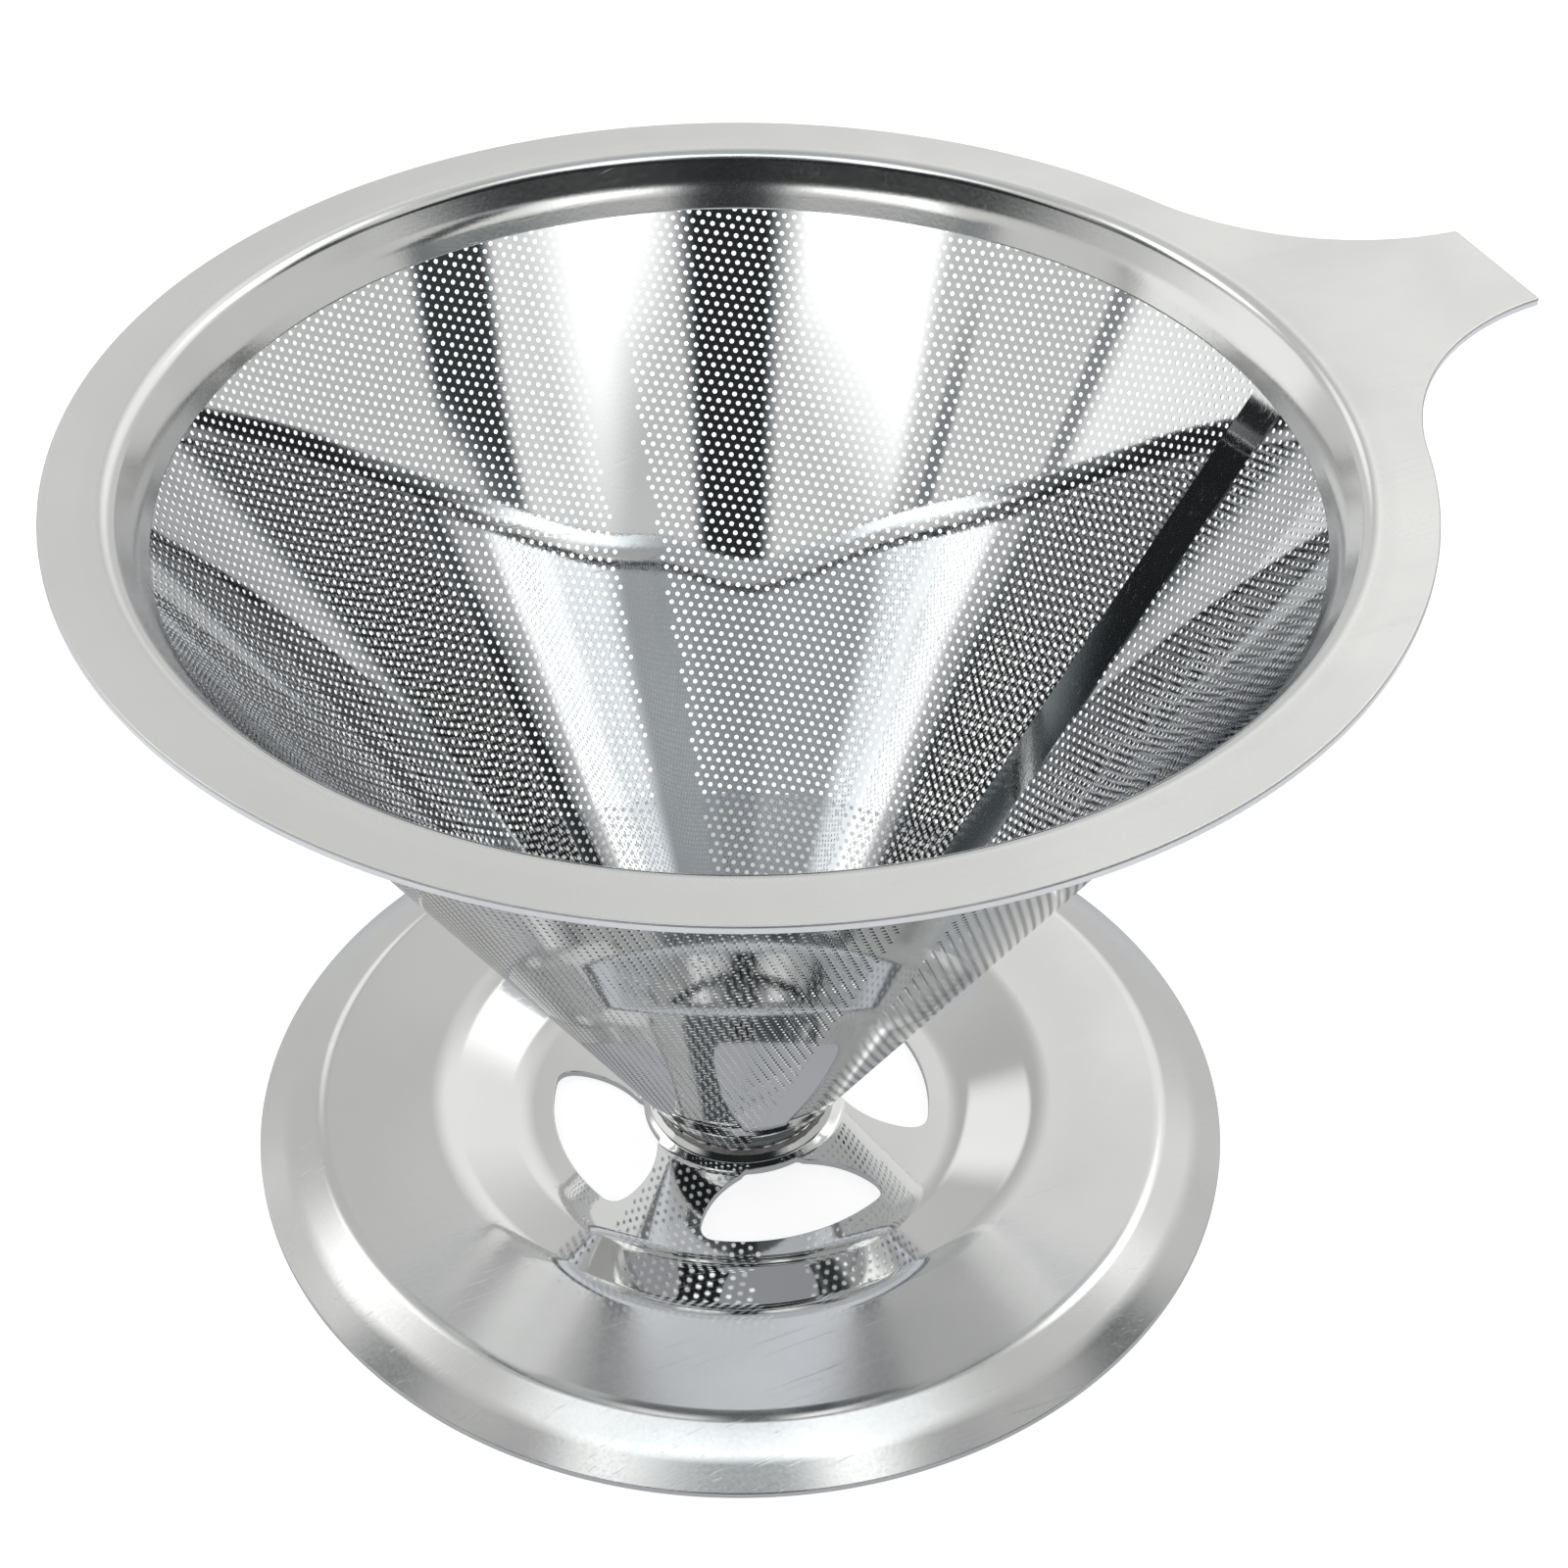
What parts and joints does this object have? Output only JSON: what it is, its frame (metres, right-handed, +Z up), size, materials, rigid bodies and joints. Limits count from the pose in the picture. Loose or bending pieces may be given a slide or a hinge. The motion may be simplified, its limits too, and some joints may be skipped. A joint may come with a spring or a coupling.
{
  "type": "pour over dripper",
  "caption": "Reusable steel pour over coffee dripper: perforated cone hung from a flat rim with a pull tab, welded into a dished stand with windows that sits on a mug.",
  "frame": {"origin": "on the cone's axis, in the plane that the stand's foot ring and the tip cap rest on", "axes": "+Z up along the cone's axis, +X along the pull tab"},
  "size_m": [0.1447, 0.125, 0.0846],
  "materials": {
    "satin_steel": "fine satin stainless steel, bead blasted, with a bright trimmed edge",
    "mirror_steel": "mirror polished thin stainless steel sheet",
    "dish_steel": "polished stainless steel with a fine satin haze on the flats",
    "weld_steel": "dull ground weld metal"
  },
  "bodies": {
    "root": {"rim": "satin_steel", "filter_cone": "mirror_steel", "collar_weld": "weld_steel", "tip_cap": "mirror_steel", "stand": "dish_steel", "hub_weld": "weld_steel"}
  },
  "joints": []
}
